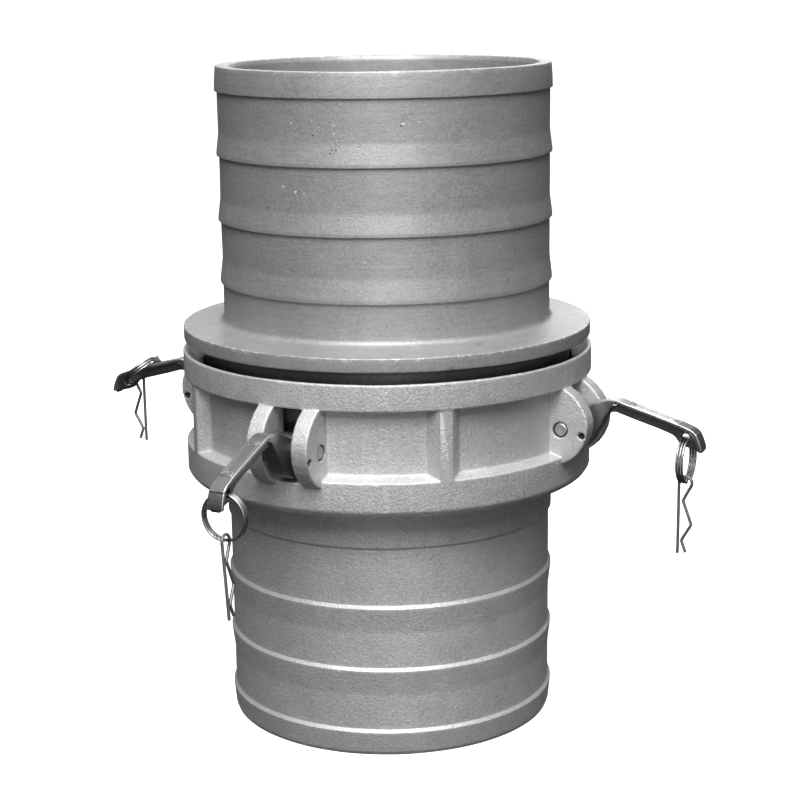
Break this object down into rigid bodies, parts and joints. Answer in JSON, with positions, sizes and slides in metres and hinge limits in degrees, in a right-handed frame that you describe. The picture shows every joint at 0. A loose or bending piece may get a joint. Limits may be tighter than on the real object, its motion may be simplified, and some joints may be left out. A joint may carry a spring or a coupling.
{
  "type": "camlock coupling",
  "caption": "Large cast camlock pair: a male hose-shank adapter standing in a female hose-shank coupler, with cam arms, pull rings and wire safety clips.",
  "frame": {"origin": "centre of the lower (coupler) hose shank's end face, on the flow axis, the lowest point of the part", "axes": "+Z along the flow axis from the coupler to the adapter; +X and +Y are radial, with the lugs at 63.56, 153.56, 243.56 and 333.56 degrees from -Y, counter-clockwise seen from above"},
  "size_m": [0.4686, 0.467, 0.5103],
  "materials": {
    "cast_aluminium": "shot blasted casting, matt with a fine orange-peel grain",
    "arm_steel": "investment cast stainless, satin polished",
    "pin_steel": "turned stainless",
    "ring_steel": "bright spring steel wire",
    "clip_steel": "dull drawn wire",
    "gasket_rubber": "matt moulded rubber"
  },
  "bodies": {
    "coupler": {"coupler_body": "cast_aluminium", "gasket": "gasket_rubber", "pivot_pin_front": "pin_steel", "pivot_pin_right": "pin_steel", "pivot_pin_back": "pin_steel", "pivot_pin_left": "pin_steel"},
    "adapter": {"adapter": "cast_aluminium"},
    "arm_front": {"cam_arm_front": "arm_steel"},
    "ring_front": {"pull_ring_front": "ring_steel"},
    "clip_front": {"safety_clip_front": "clip_steel"},
    "arm_right": {"cam_arm_right": "arm_steel"},
    "ring_right": {"pull_ring_right": "ring_steel"},
    "clip_right": {"safety_clip_right": "clip_steel"},
    "arm_back": {"cam_arm_back": "arm_steel"},
    "ring_back": {"pull_ring_back": "ring_steel"},
    "clip_back": {"safety_clip_back": "clip_steel"},
    "arm_left": {"cam_arm_left": "arm_steel"},
    "ring_left": {"pull_ring_left": "ring_steel"},
    "clip_left": {"safety_clip_left": "clip_steel"}
  },
  "joints": [
    {"name": "adapter_lift", "type": "slide", "parent": "coupler", "child": "adapter", "axis": [0, 0, 1], "range_m": [0, 0.09]},
    {"name": "arm_front_hinge", "type": "hinge", "parent": "coupler", "child": "arm_front", "pos_m": [-0.0721, -0.13835, 0.2432], "axis": [0.8915, -0.4531, 0], "range_deg": [-40, 65.8]},
    {"name": "ring_front_hinge", "type": "hinge", "parent": "arm_front", "child": "ring_front", "pos_m": [-0.11269, -0.2182, 0.23411], "axis": [0.8915, -0.4531, 0], "range_deg": [-65.8, 40]},
    {"name": "clip_front_hinge", "type": "hinge", "parent": "ring_front", "child": "clip_front", "pos_m": [-0.11269, -0.2182, 0.20031], "axis": [0.8915, -0.4531, 0], "range_deg": [-45, 45]},
    {"name": "arm_right_hinge", "type": "hinge", "parent": "coupler", "child": "arm_right", "pos_m": [0.13907, -0.07068, 0.2432], "axis": [0.4531, 0.8915, 0], "range_deg": [-40, 70]},
    {"name": "ring_right_hinge", "type": "hinge", "parent": "arm_right", "child": "ring_right", "pos_m": [0.2193, -0.11145, 0.2407], "axis": [0.4531, 0.8915, 0], "range_deg": [-70, 40]},
    {"name": "clip_right_hinge", "type": "hinge", "parent": "ring_right", "child": "clip_right", "pos_m": [0.2193, -0.11145, 0.2069], "axis": [0.4531, 0.8915, 0], "range_deg": [-45, 45]},
    {"name": "arm_back_hinge", "type": "hinge", "parent": "coupler", "child": "arm_back", "pos_m": [0.07068, 0.13907, 0.2432], "axis": [-0.8915, 0.4531, 0], "range_deg": [-40, 70]},
    {"name": "ring_back_hinge", "type": "hinge", "parent": "arm_back", "child": "ring_back", "pos_m": [0.11145, 0.2193, 0.2407], "axis": [-0.8915, 0.4531, 0], "range_deg": [-70, 40]},
    {"name": "clip_back_hinge", "type": "hinge", "parent": "ring_back", "child": "clip_back", "pos_m": [0.11145, 0.2193, 0.2069], "axis": [-0.8915, 0.4531, 0], "range_deg": [-45, 45]},
    {"name": "arm_left_hinge", "type": "hinge", "parent": "coupler", "child": "arm_left", "pos_m": [-0.13907, 0.07068, 0.2432], "axis": [-0.4531, -0.8915, 0], "range_deg": [-40, 70]},
    {"name": "ring_left_hinge", "type": "hinge", "parent": "arm_left", "child": "ring_left", "pos_m": [-0.2193, 0.11145, 0.2407], "axis": [-0.4531, -0.8915, 0], "range_deg": [0, 150]},
    {"name": "clip_left_hinge", "type": "hinge", "parent": "ring_left", "child": "clip_left", "pos_m": [-0.21287, 0.11893, 0.2426], "axis": [-0.4531, -0.8915, 0], "range_deg": [-150, 0]}
  ],
  "couplings": [
    {"joint": "ring_front_hinge", "follows": "arm_front_hinge", "ratio": -1},
    {"joint": "ring_right_hinge", "follows": "arm_right_hinge", "ratio": -1},
    {"joint": "ring_back_hinge", "follows": "arm_back_hinge", "ratio": -1},
    {"joint": "clip_left_hinge", "follows": "ring_left_hinge", "ratio": -1}
  ]
}
